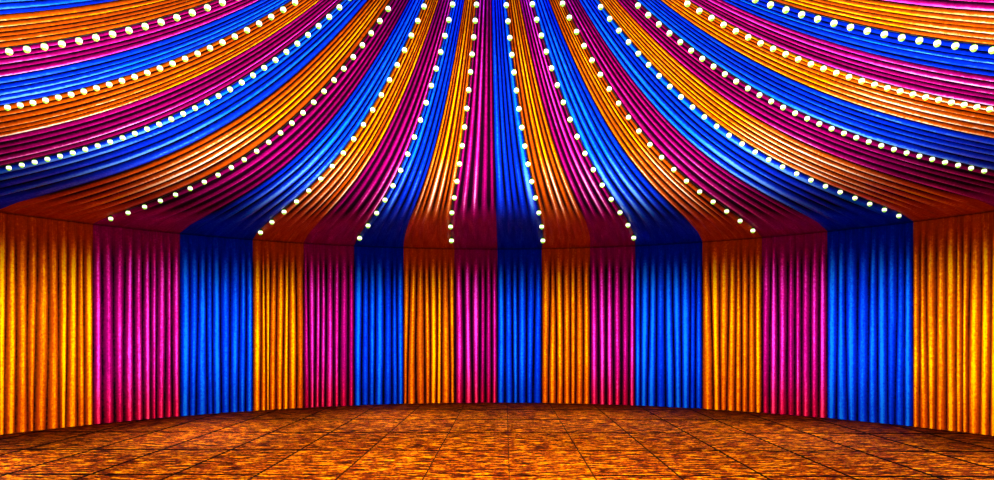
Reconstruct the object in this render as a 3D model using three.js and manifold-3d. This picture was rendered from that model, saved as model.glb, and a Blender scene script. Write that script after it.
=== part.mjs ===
// Round circus tent with a framed roof and no pole inside.
// Pleated curtains and a sagging pleated ceiling line the room; striped canvas covers the outside.
// Millimetres, +Z up. The origin is on the ground under the crown. The doorway faces -Y.
// Seams are numbered clockwise from +Y as seen from above.

import * as THREE from 'three';
import { mergeVertices } from 'three/addons/utils/BufferGeometryUtils.js';
import Module from 'manifold-3d';

const wasm = await Module();
wasm.setup();

// Plan
const gap = 0.3;
const panels = 48;
const panelAngle = (2 * Math.PI) / panels;
const cornerAngle = panelAngle / 2;
const quarterSeams = { ne: 0, se: 12, sw: 24, nw: 36 };
const wallRuns = { ne: [0, 12], se: [12, 23], sw: [25, 36], nw: [36, 48] };
const postSeams = [3, 9, 15, 21, 27, 33, 39, 45];

// Floor and curtains
const deckThickness = 50;
const roomRadius = 8960;
const curtainThickness = 60;
const curtainRadius = roomRadius + curtainThickness;
const ceilingEdge = deckThickness + 3560;
const curtainTop = ceilingEdge - 10;

// Ceiling lining: almost level at the wall, steeper towards the crown
const sagRadius = 9000;
const sagRise = 410;
const sagCurve = 2315;
const sagPower = 4.4;
const liningThickness = 40;
const liningRings = 11;
const rosetteRadius = 520;
const rosetteHeight = 60;
const rosetteBoss = 190;

// Wall frame
const beamWidth = 100;
const beamInner = curtainRadius + gap;
const beamOuter = beamInner + beamWidth;
const beamBottom = ceilingEdge - 70;
const beamTop = beamBottom + 120;
const postRadius = beamWidth / 2;
const postCircle = beamInner + postRadius;

// Outer wall and doorway
const canvasThickness = 20;
const canvasRadius = beamOuter + gap;
const canvasTop = beamTop - 20;
const doorSeams = [23, 25];
const doorHeight = 2500;
const lintelHeight = 100;

// Crown hub, mast and rafters
const hubSides = 8;
const hubRadius = 450;
const hubBottom = 7280;
const hubTop = hubBottom + 340;
const hangerRadius = 45;
const mastRadius = 70;
const mastNeck = 45;
const mastTop = 9250;
const finialRadius = 130;
const rafterWidth = 100;
const rafterDepth = 170;
const rafterToe = beamOuter - 10;
const rafterHeel = beamInner + 10;
const rafterEnd = hubRadius + gap;
const rafterSlope = (hubBottom + 60 - beamTop) / (rafterHeel - rafterEnd);

// Canopy, valance and crown cap
const canopyThickness = 20;
const canopyHole = 560;
const eaveRadius = 9300;
const valanceDrop = 400;
const scallopsPerPanel = 2;
const scallopDepth = 130;
const scallopSteps = 3;
const capRadius = 1500;
const capHole = 60;
const capPeak = 957;
const capPower = 2.2;
const capRings = 6;

// Pennant
const pennantLength = 1150;
const pennantBottom = 8720;
const pennantHeight = 460;
const pennantThickness = 12;

// Light strings under every second ceiling seam. The photographed panels vary a little in width,
// so their strings are given in degrees to the left and right of +Y.
const stringSize = 16;
const stringClear = 0.5;
const stringStart = 8950;
const feederInner = 535;
const feederOuter = 575;
const leftStrings = [6.8, 20.5, 34.4, 51, 69.7, 84, 97.2];
const rightStrings = [7.6, 22, 37.2, 53.7, 69.4, 84.5, 98];
const lastString = 172.5;
const entranceStrings = 5;

// Finishes
function finish(colour, roughness, metalness = 0) {
  return () => new THREE.MeshStandardMaterial({ color: colour, roughness, metalness });
}

const satin = finish(0xe08a1c, 0.35);
const canvas = finish(0x1f45c8, 0.6);
const pennantCloth = finish(0xc2187e, 0.5);
const oak = finish(0xa5622a, 0.45);
const aluminium = finish(0xb9bcc0, 0.35, 0.9);
const gilt = finish(0xd9a93a, 0.3, 0.8);
const cable = finish(0xfff4d0, 0.4);

// Closed solids
function toManifold(geometry) {
  const bare = geometry.clone();
  bare.deleteAttribute('normal');
  bare.deleteAttribute('uv');
  const welded = mergeVertices(bare, 1e-3);
  const corners = welded.getIndex().array;
  const triangles = [];
  for (let i = 0; i < corners.length; i += 3) {
    const [a, b, c] = corners.slice(i, i + 3);
    if (a !== b && b !== c && c !== a) triangles.push(a, b, c);
  }
  return new wasm.Manifold(new wasm.Mesh({
    numProp: 3,
    vertProperties: new Float32Array(welded.getAttribute('position').array),
    triVerts: new Uint32Array(triangles),
  }));
}

function toGeometry(solid) {
  const mesh = solid.getMesh();
  const geometry = new THREE.BufferGeometry();
  geometry.setAttribute('position', new THREE.BufferAttribute(mesh.vertProperties, 3));
  geometry.setIndex(Array.from(mesh.triVerts));
  return geometry;
}

function unite(geometries) {
  return geometries.map(toManifold).reduce((sum, next) => sum.add(next));
}

// Places on the plan
function seamAngle(seam) {
  return seam * panelAngle;
}

function onPlan(radius, angle) {
  return new THREE.Vector2(radius * Math.sin(angle), radius * Math.cos(angle));
}

// A many-sided arc between two seams, drawn back by half a gap at each end
function arcPoints(radius, first, last) {
  const points = [];
  for (let seam = first; seam <= last; seam += 1) {
    points.push(onPlan(radius, seamAngle(seam)));
  }
  const trim = gap / 2 / points[0].distanceTo(points[1]);
  const start = points[0].clone().lerp(points[1], trim);
  const end = points.at(-1).clone().lerp(points.at(-2), trim);
  return [start, ...points.slice(1, -1), end];
}

function arcWall([first, last], inner, outer, bottom, top) {
  const outline = [...arcPoints(outer, first, last), ...arcPoints(inner, first, last).reverse()];
  const shape = new THREE.Shape(outline);
  const geometry = new THREE.ExtrudeGeometry(shape, { depth: top - bottom, bevelEnabled: false });
  return geometry.translate(0, 0, bottom);
}

// A solid turned about the vertical axis from a profile of radius and height
function turned(profile, sides) {
  const points = profile.map(([radius, height]) => new THREE.Vector2(radius, height));
  return new THREE.LatheGeometry(points, sides).rotateX(Math.PI / 2);
}

// A plate drawn in radius and height, standing in the vertical plane at an angle from +Y
function radialPlate(outline, width, angle) {
  const shape = new THREE.Shape(outline.map(([radius, height]) => new THREE.Vector2(radius, height)));
  const geometry = new THREE.ExtrudeGeometry(shape, { depth: width, bevelEnabled: false });
  geometry.translate(0, 0, -width / 2);
  const outward = new THREE.Vector3(Math.sin(angle), Math.cos(angle), 0);
  const up = new THREE.Vector3(0, 0, 1);
  const across = new THREE.Vector3().crossVectors(outward, up);
  return geometry.applyMatrix4(new THREE.Matrix4().makeBasis(outward, up, across));
}

// The quarter of a round shell that starts clockwise from a seam
function quarterOf(shell, seam) {
  const near = gap / 2;
  const far = eaveRadius + 500;
  const corners = [[near, near], [far, near], [far, far], [near, far]];
  const square = new THREE.Shape(corners.map(([x, y]) => new THREE.Vector2(x, y)));
  const block = new THREE.ExtrudeGeometry(square, { depth: mastTop, bevelEnabled: false });
  return shell.intersect(toManifold(block.rotateZ(-seamAngle(seam))));
}

// Heights shared by neighbouring pieces
function liningSag(radius) {
  const inward = 1 - radius / sagRadius;
  return ceilingEdge + sagRise * inward + sagCurve * Math.max(inward, 0) ** sagPower;
}

const liningRadii = Array.from({ length: liningRings + 1 }, (_, ring) => {
  const share = 1 - (1 - ring / liningRings) ** 1.4;
  return THREE.MathUtils.lerp(curtainRadius, rosetteRadius + gap, share);
});

// The lining is straight between its rings
function liningHeight(radius) {
  const ring = Math.max(liningRadii.findIndex((inner) => radius >= inner), 1);
  const [outer, inner] = [liningRadii[ring - 1], liningRadii[ring]];
  const share = (outer - radius) / (outer - inner);
  return THREE.MathUtils.lerp(liningSag(outer), liningSag(inner), share);
}

function rafterUnderside(radius) {
  return beamTop + gap + (rafterHeel - radius) * rafterSlope;
}

function canopyUnderside(radius) {
  const cornerDrop = (rafterWidth / 2) * Math.tan(cornerAngle) * rafterSlope;
  return rafterUnderside(radius) + rafterDepth + cornerDrop + gap;
}

// Floor
function floorDeck() {
  const edge = curtainRadius - 10;
  return turned([[0, 0], [edge, 0], [edge, deckThickness], [0, deckThickness]], panels);
}

// Curtains inside, canvas outside, and the short pieces over the doorway
function curtain(run, bottom) {
  return arcWall(run, roomRadius, curtainRadius, bottom, curtainTop);
}

function canvasWall(run, bottom) {
  return arcWall(run, canvasRadius, canvasRadius + canvasThickness, bottom, canvasTop);
}

// Frame
function post(seam, height) {
  const place = onPlan(postCircle, seamAngle(seam));
  const column = turned([[0, 0], [postRadius, 0], [postRadius, height], [0, height]], 12);
  return column.rotateZ(-seamAngle(seam)).translate(place.x, place.y, 0);
}

function doorFrame() {
  const jambs = doorSeams.map((seam) => post(seam, doorHeight + lintelHeight / 2));
  const lintel = arcWall(doorSeams, beamInner, beamOuter, doorHeight, doorHeight + lintelHeight);
  return toGeometry(unite([lintel, ...jambs]));
}

function eaveBeam(seam) {
  return arcWall([seam, seam + 12], beamInner, beamOuter, beamBottom, beamTop);
}

function rafter(seam) {
  const outline = [
    [rafterHeel, rafterUnderside(rafterHeel)],
    [rafterToe, rafterUnderside(rafterHeel)],
    [rafterToe, rafterUnderside(rafterToe) + rafterDepth],
    [rafterEnd, rafterUnderside(rafterEnd) + rafterDepth],
    [rafterEnd, rafterUnderside(rafterEnd)],
  ];
  return radialPlate(outline, rafterWidth, seamAngle(seam));
}

// The hub takes the rafters on its flat sides, with the mast above it and the hanger below it
function crownHub() {
  const hubCorner = hubRadius / Math.cos(Math.PI / hubSides);
  const hangerEnd = liningHeight(rosetteRadius + gap) + rosetteHeight + gap;
  const profile = [
    [0, hangerEnd],
    [hangerRadius, hangerEnd],
    [hangerRadius, hubBottom],
    [hubCorner, hubBottom],
    [hubCorner, hubTop],
    [mastRadius, hubTop],
    [mastNeck, pennantBottom],
    [mastNeck, mastTop],
    [0, mastTop],
  ];
  const finial = new THREE.SphereGeometry(finialRadius, 12, 8).rotateX(Math.PI / 2);
  finial.translate(0, 0, mastTop + finialRadius * 0.8);
  return toGeometry(unite([turned(profile, hubSides), finial]));
}

function ceilingRosette() {
  const level = liningHeight(rosetteRadius + gap);
  const profile = [
    [0, level - rosetteBoss],
    [rosetteRadius * 0.2, level - rosetteBoss],
    [rosetteRadius * 0.45, level - rosetteBoss * 0.7],
    [rosetteRadius * 0.6, level - rosetteBoss * 0.3],
    [rosetteRadius, level],
    [rosetteRadius, level + rosetteHeight],
    [0, level + rosetteHeight],
  ];
  return turned(profile, panels);
}

// Ceiling
function liningShell() {
  const under = liningRadii.map((radius) => [radius, liningHeight(radius)]);
  const over = under.map(([radius, height]) => [radius, height + liningThickness]);
  return toManifold(turned([...over, ...under.reverse(), over[0]], panels));
}

// Canopy with its valance, scalloped along the lower edge
function scallopNotch(angle) {
  const halfWidth = (eaveRadius * Math.sin(cornerAngle)) / scallopsPerPanel;
  const tip = canopyUnderside(eaveRadius) - valanceDrop;
  const curve = [];
  for (let step = 0; step <= scallopSteps; step += 1) {
    const turn = (step / scallopSteps) * (Math.PI / 2);
    curve.push([halfWidth * (1 - Math.sin(turn)), tip + scallopDepth * (1 - Math.cos(turn))]);
  }
  const right = [[halfWidth + 1, tip - 50], [halfWidth + 1, tip], ...curve];
  const left = right.slice(0, -1).reverse().map(([across, height]) => [-across, height]);
  const shape = new THREE.Shape([...right, ...left].map(([x, y]) => new THREE.Vector2(x, y)));
  const cutter = new THREE.ExtrudeGeometry(shape, { depth: 300, bevelEnabled: false });
  cutter.translate(0, 0, eaveRadius - 150);
  const outward = new THREE.Vector3(Math.sin(angle), Math.cos(angle), 0);
  const up = new THREE.Vector3(0, 0, 1);
  const along = new THREE.Vector3().crossVectors(up, outward);
  return cutter.applyMatrix4(new THREE.Matrix4().makeBasis(along, up, outward));
}

function canopyShell() {
  const hem = canopyUnderside(eaveRadius) - valanceDrop - 20;
  const inside = eaveRadius - canopyThickness;
  const profile = [
    [inside, hem],
    [eaveRadius, hem],
    [eaveRadius, canopyUnderside(eaveRadius) + canopyThickness],
    [canopyHole, canopyUnderside(canopyHole) + canopyThickness],
    [canopyHole, canopyUnderside(canopyHole)],
    [inside, canopyUnderside(inside)],
    [inside, hem],
  ];
  return toManifold(turned(profile, panels));
}

function canopyQuarter(shell, seam) {
  const notches = [];
  const step = panelAngle / scallopsPerPanel;
  for (let count = 0; count <= 12 * scallopsPerPanel; count += 1) {
    notches.push(scallopNotch(seamAngle(seam) + count * step));
  }
  return toGeometry(quarterOf(shell, seam).subtract(unite(notches)));
}

// The cap rests on the canopy and sweeps up to the mast
function crownCap() {
  const under = [];
  for (let ring = 0; ring <= capRings; ring += 1) {
    const share = ring / capRings;
    const radius = THREE.MathUtils.lerp(capRadius, capHole, share);
    const lift = capPeak * share ** capPower;
    under.push([radius, canopyUnderside(radius) + canopyThickness + gap + lift]);
  }
  const over = under.map(([radius, height]) => [radius, height + canopyThickness]);
  return turned([...over, ...under.reverse(), over[0]], panels);
}

function pennant() {
  const outline = [
    [mastNeck + gap, pennantBottom],
    [mastNeck + pennantLength, pennantBottom + pennantHeight / 2],
    [mastNeck + gap, pennantBottom + pennantHeight],
  ];
  return radialPlate(outline, pennantThickness, Math.PI / 2);
}

// A string follows the flat facets of the lining above it
function lightString(degrees) {
  const angle = THREE.MathUtils.degToRad(degrees);
  const intoPanel = THREE.MathUtils.euclideanModulo(angle, panelAngle) - cornerAngle;
  const plan = Math.cos(cornerAngle) / Math.cos(intoPanel);
  const between = liningRadii.filter((radius) => radius < stringStart && radius > feederOuter);
  const stations = [stringStart, ...between, (feederInner + feederOuter) / 2];
  const upper = stations.map((radius) => [radius * plan, stringTop(radius)]);
  const lower = upper.map(([radius, height]) => [radius, height - stringSize]).reverse();
  return radialPlate([...lower, ...upper], stringSize, angle);
}

function stringTop(radius) {
  const slope = (liningHeight(radius - 5) - liningHeight(radius)) / 5;
  const facetDrop = slope * (stringSize / 2) * Math.tan(cornerAngle);
  return liningHeight(radius) - stringClear - facetDrop;
}

function stringAngles() {
  const angles = [...leftStrings.map((degrees) => -degrees), ...rightStrings];
  for (let count = 1; count <= entranceStrings; count += 1) {
    const share = count / entranceStrings;
    angles.push(THREE.MathUtils.lerp(rightStrings.at(-1), lastString, share));
    angles.push(-THREE.MathUtils.lerp(leftStrings.at(-1), lastString, share));
  }
  return angles;
}

// One feeder ring round the rosette joins all the strings
function lightStrings() {
  const feeder = turned([
    [feederInner, stringTop(feederInner) - stringSize],
    [feederOuter, stringTop(feederOuter) - stringSize],
    [feederOuter, stringTop(feederOuter)],
    [feederInner, stringTop(feederInner)],
    [feederInner, stringTop(feederInner) - stringSize],
  ], panels);
  return toGeometry(unite([feeder, ...stringAngles().map(lightString)]));
}

// Assembly
const tent = new THREE.Group();

function place(name, geometry, surface) {
  const mesh = new THREE.Mesh(geometry, surface());
  mesh.name = name;
  tent.add(mesh);
}

place('floor_deck', floorDeck(), oak);
place('door_frame', doorFrame(), aluminium);
place('door_pelmet', curtain(doorSeams, doorHeight), satin);
place('door_header', canvasWall(doorSeams, doorHeight), canvas);
place('crown_hub', crownHub(), aluminium);
place('crown_cap', crownCap(), canvas);
place('ceiling_rosette', ceilingRosette(), gilt);
place('pennant', pennant(), pennantCloth);
place('light_strings', lightStrings(), cable);

postSeams.forEach((seam, count) => {
  place(`post_${count + 1}`, post(seam, beamBottom - gap), aluminium);
  place(`rafter_${count + 1}`, rafter(seam), aluminium);
});

const lining = liningShell();
const canopy = canopyShell();
Object.entries(quarterSeams).forEach(([quarter, seam]) => {
  place(`curtain_${quarter}`, curtain(wallRuns[quarter], deckThickness + gap), satin);
  place(`outer_wall_${quarter}`, canvasWall(wallRuns[quarter], 0), canvas);
  place(`eave_beam_${quarter}`, eaveBeam(seam), aluminium);
  place(`ceiling_${quarter}`, toGeometry(quarterOf(lining, seam)), satin);
  place(`canopy_${quarter}`, canopyQuarter(canopy, seam), canvas);
});

export default tent;
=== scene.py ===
import math
import random

import bmesh
import bpy
import numpy as np
from mathutils import Matrix, Vector


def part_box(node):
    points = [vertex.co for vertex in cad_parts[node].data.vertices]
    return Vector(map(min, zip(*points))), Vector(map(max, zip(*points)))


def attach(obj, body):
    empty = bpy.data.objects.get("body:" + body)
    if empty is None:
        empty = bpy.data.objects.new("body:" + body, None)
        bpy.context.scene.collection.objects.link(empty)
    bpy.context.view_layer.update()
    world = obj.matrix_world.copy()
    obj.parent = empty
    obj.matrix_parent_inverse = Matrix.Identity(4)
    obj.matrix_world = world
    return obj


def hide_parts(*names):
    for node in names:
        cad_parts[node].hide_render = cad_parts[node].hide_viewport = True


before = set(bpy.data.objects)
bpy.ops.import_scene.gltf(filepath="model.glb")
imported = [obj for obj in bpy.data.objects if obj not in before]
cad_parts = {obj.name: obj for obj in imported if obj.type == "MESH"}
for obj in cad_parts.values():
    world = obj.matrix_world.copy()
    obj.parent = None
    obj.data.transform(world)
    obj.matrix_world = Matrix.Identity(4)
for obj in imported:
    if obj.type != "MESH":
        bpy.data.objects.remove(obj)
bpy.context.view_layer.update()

# Circus tent: a satin-lined room inside a round canvas tent. Metres, +Z up.
# Seams are counted clockwise from +Y as seen from above; negative ones run to the left.

camera = {
    "place": (0.069, -5.769, 1.709),  # at eye height, inside the doorway
    "lens": 23.16,
    "sensor": 36,
    "rise": 0.0916,  # the horizon stands low in the picture
    "reach": (0.05, 2000),  # the nearest and furthest that it sees
}

tent = {
    "panels": 48,
    # degrees from +Y of the seams inside, which the photo shows to be uneven, on each side of the first one
    "firstSeam": 0.5,
    "leftSeams": (5.8, 13.2, 20.2, 27.1, 33.7, 42.5, 51.9, 61, 70, 77.2, 84.5, 91, 97.5),
    "rightSeams": (7, 14, 20.4, 29.5, 37.1, 44.8, 53.9, 61.9, 69.8, 77.3, 84.8, 91.7, 98.5),
    # degrees by which the lining's seams turn on their way from the wall to the crown
    "lean": {-9: 0, -7: 0.8, -5: -1.5, -3: -0.6, -1: -2, 0: 0, 1: 1.6, 3: 2.5, 5: 1.5, 7: 1.2, 9: 0},
    "leanReach": 0.6,  # share of the radius on which they turn
    "doorSeam": 23,  # the doorway runs from this seam to the one across the back seam
    "doorDegrees": 172.5,
    "quarters": {"ne": (0, 12), "se": (12, 24), "sw": (-24, -12), "nw": (-12, 0)},
    "rafterEvery": 6,
    "firstRafter": 3,
}
backSeam = tent["panels"] // 2
doorway = tent["doorSeam"], tent["panels"] - tent["doorSeam"]

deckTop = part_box("floor_deck")[1].z
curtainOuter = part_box("curtain_ne")[1].y
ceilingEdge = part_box("ceiling_ne")[0].z
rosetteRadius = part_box("ceiling_rosette")[1].x
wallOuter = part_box("outer_wall_ne")[1].y
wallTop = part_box("outer_wall_ne")[1].z
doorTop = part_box("door_pelmet")[0].z
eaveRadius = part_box("canopy_ne")[1].y
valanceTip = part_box("canopy_ne")[0].z
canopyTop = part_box("canopy_ne")[1].z
roomPanel = 2 * math.pi * curtainOuter / tent["panels"]  # width of a panel inside
canvasPanel = 2 * math.pi * eaveRadius / tent["panels"]  # and at the eave


def hexColour(code):
    channels = [int(code[i:i + 2], 16) / 255 for i in (1, 3, 5)]
    return (*[c / 12.92 if c <= 0.04045 else ((c + 0.055) / 1.055) ** 2.4 for c in channels], 1)


# A link comes from an output, or from a node for the first of its outputs that is in use
def setSockets(tree, node, values=None, links=None):
    for socket, value in (values or {}).items():
        node.inputs[socket].default_value = value
    for socket, source in (links or {}).items():
        if isinstance(source, bpy.types.Node):
            source = next(output for output in source.outputs if output.enabled)
        tree.links.new(source, node.inputs[socket])


def addNode(tree, kind, values=None, links=None, **settings):
    node = tree.nodes.new("ShaderNode" + kind)
    for setting, value in settings.items():
        setattr(node, setting, value)
    setSockets(tree, node, values, links)
    return node


def startMaterial(name):
    material = bpy.data.materials.new(name)
    material.use_nodes = True
    tree = material.node_tree
    return material, tree, tree.nodes["Principled BSDF"]


def setRamp(node, *stops):
    ramp = node.color_ramp
    while len(ramp.elements) < len(stops):
        ramp.elements.new(0.5)
    for element, (place, colour) in zip(ramp.elements, stops):
        element.position = place
        element.color = hexColour(colour)


# Scale of a pattern, from its sizes in millimetres. The cloth's UV map counts panels across, and metres along
def patternScale(across, along, deep=1000, panelWidth=1):
    return panelWidth * 1000 / across, 1000 / along, 1000 / deep


def finishPiece(name, bm, materials, replaced=()):
    mesh = bpy.data.meshes.new(name)
    bm.to_mesh(mesh)
    bm.free()
    piece = bpy.data.objects.new(name, mesh)
    bpy.context.scene.collection.objects.link(piece)
    for material in materials:
        mesh.materials.append(material)
    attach(piece, "root")
    if replaced:
        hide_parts(*replaced)
    return piece


def thicken(piece, thickness, offset):
    skin = piece.modifiers.new("skin", "SOLIDIFY")
    skin.thickness = thickness
    skin.offset = offset


# Plan of the tent

def seamTable():
    door, turned = tent["doorSeam"], tent["doorDegrees"]
    table = {0: tent["firstSeam"], door: turned, -door: -turned, doorway[1]: 360 - turned, backSeam: 180,
             -backSeam: -180}
    table.update(enumerate(tent["rightSeams"], 1))
    table.update((-count, -degrees) for count, degrees in enumerate(tent["leftSeams"], 1))
    seams = sorted(table)
    return np.array(seams), np.radians([table[seam] for seam in seams])


seamNumbers, seamAzimuths = seamTable()
sewnSeams = np.arange(-backSeam, doorway[1] + 1)


def fabricAzimuth(seam):
    return np.interp(seam, seamNumbers, seamAzimuths)


def liningAzimuth(seam, radius):
    lean = np.interp(seam, list(tent["lean"]), np.radians(list(tent["lean"].values())))
    inward = np.clip((1 - radius / curtainOuter) / tent["leanReach"], 0, 1)
    return fabricAzimuth(seam) + lean * inward * (2 - inward)


def evenAzimuth(seam):
    return np.asarray(seam) * (2 * math.pi / tent["panels"])


# The plan is a polygon, so the radius shrinks a little between its corners
def polygonShare(azimuth):
    side = 2 * math.pi / tent["panels"]
    return math.cos(side / 2) / np.cos(np.mod(azimuth, side) - side / 2)


def ringPoints(radius, azimuth, height):
    plan = radius * polygonShare(azimuth)
    return np.stack(np.broadcast_arrays(plan * np.sin(azimuth), plan * np.cos(azimuth), height), axis=-1)


# Cloth made from a grid whose points are moved into folds

def clothMesh(places, flat, crest, stripes, outward=False):
    rows, columns = places.shape[:2]
    bm = bmesh.new()
    bmesh.ops.create_grid(bm, x_segments=columns - 1, y_segments=rows - 1, size=0.5)
    crestLayer = bm.verts.layers.float.new("crest")
    uvLayer = bm.loops.layers.uv.new("cloth")
    bm.verts.index_update()
    spots = []
    for vertex in bm.verts:
        column = round((vertex.co.x + 0.5) * (columns - 1))
        row = round((vertex.co.y + 0.5) * (rows - 1))
        spots.append((row, column))
    for face in bm.faces:
        middle = face.calc_center_median()
        column = int((middle.x + 0.5) * (columns - 1))
        row = int((middle.y + 0.5) * (rows - 1))
        face.material_index = int(stripes[row][column])
        face.smooth = True
        for loop in face.loops:
            loop[uvLayer].uv = flat[spots[loop.vert.index]]
    for vertex, spot in zip(bm.verts, spots):
        vertex.co = places[spot]
        vertex[crestLayer] = crest[spot]
    if outward:
        bmesh.ops.reverse_faces(bm, faces=bm.faces)
    return bm


def clothMap(seam, along):
    return np.stack(np.broadcast_arrays(seam + backSeam, along), axis=-1)


def foldEdges(first, last, foldsIn, uneven, draw):
    edges, owners = [float(first)], []
    for panel in range(first, last):
        widths = [1 + uneven * draw.uniform(-1, 1) for _ in range(foldsIn(panel))]
        for width in widths:
            edges.append(edges[-1] + width / sum(widths))
            owners.append(panel)
        edges[-1] = float(panel + 1)
    return np.array(edges), np.array(owners)


# Seam position, height of the fold and stripe for each point of a pleated cloth
def pleats(edges, owners, style, draw):
    folds, rows, perFold = len(owners), style["rows"], style["perFold"]
    steps = np.arange(folds * perFold + 1)
    fold = np.minimum(steps // perFold, folds - 1)
    turn = (steps - fold * perFold) / perFold
    share = 0.5 - 0.5 * np.cos(math.pi * turn)  # closer together in the grooves
    along = np.linspace(0, 1, rows)[:, None]
    widths = np.diff(edges)
    slant = np.array([draw.uniform(-1, 1) for _ in edges]) * style["sway"]
    bend = np.array([draw.uniform(-1, 1) for _ in edges]) * style["sway"]
    start = np.array([draw.uniform(0, 6) for _ in edges])
    inner = np.isin(edges, sewnSeams, invert=True)  # the seams themselves stay straight
    shift = (slant * (along - 0.5) + bend * np.sin(3.4 * along + start)) * inner
    shift = shift * np.append(widths, widths[-1])
    moved = edges + shift
    seam = moved[:, fold] * (1 - share) + moved[:, np.minimum(fold + 1, folds)] * share
    height = np.array([draw.uniform(*style["heights"]) for _ in owners])
    sharp = np.array([style["sharpness"][panel % 3] for panel in owners])
    crest = np.abs(np.sin(math.pi * share)) ** sharp[fold] * height[fold]
    stripes = np.broadcast_to(owners[fold[:-1]] % 3, (rows, len(steps) - 1))
    return seam, np.broadcast_to(crest, seam.shape), stripes


# Colours of the three satins, in the order of the panels: painted shade in the grooves, the flanks and
# shoulders, and painted highlight on the crests of the folds, the tint of their shine, a pale painted
# highlight on the lining's crests, and painted shade at the foot of the wall, tinted warm as if lit from the
# floor
satins = {
    "blue": {"groove": "#000218", "body": "#0026d8", "shoulder": "#0454f0", "crest": "#0a7eff",
             "shine": "#4c98ff", "paintedHighlight": "#58a4ff", "footShade": "#edbfbc"},
    "orange": {"groove": "#1c0200", "body": "#c04a00", "shoulder": "#f08a00", "crest": "#ffd000",
               "shine": "#ffe8a0", "paintedHighlight": "#fff2d4", "footShade": "#edbfbc"},
    "magenta": {"groove": "#14000c", "body": "#980060", "shoulder": "#e4149c", "crest": "#ff48ec",
                "shine": "#ff80e0", "paintedHighlight": "#ffb4f0", "footShade": "#edbc61"},
}
satinCare = {
    "threads": (12.4, 769),  # mm, a bundle of floats: real threads are too fine to show
    "crush": 41.7,  # mm, the small dents of cloth that has been packed
    "fade": (131, 1820),  # mm, the paler and darker stretches
    "grain": (-0.16, 0.2),  # how much the three of them take from and add to the height of a fold
    # fold heights for the colours: painted shade in the grooves up to painted highlight on the crests
    "levels": {"groove": 0.25, "body": 0.74, "shoulder": 0.88, "crest": 0.97},
    "dull": (0.6, 0.8),  # height and roughness of the flanks
    "shiny": (0.9, 0.16),  # and of the crests
    "footShade": (1.35, 0.1),  # height at which the painted shade at the foot of the wall starts, and where it is full
    "paintedHighlight": (3.72, 3.84, 3.96, 4.16),  # heights between which a pale painted highlight lies on the lining's crests
    "highlightCrest": (0.84, 0.98),
    "seam": 0.02,  # half the height of the painted shadow line where wall and lining are sewn together
}


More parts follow.
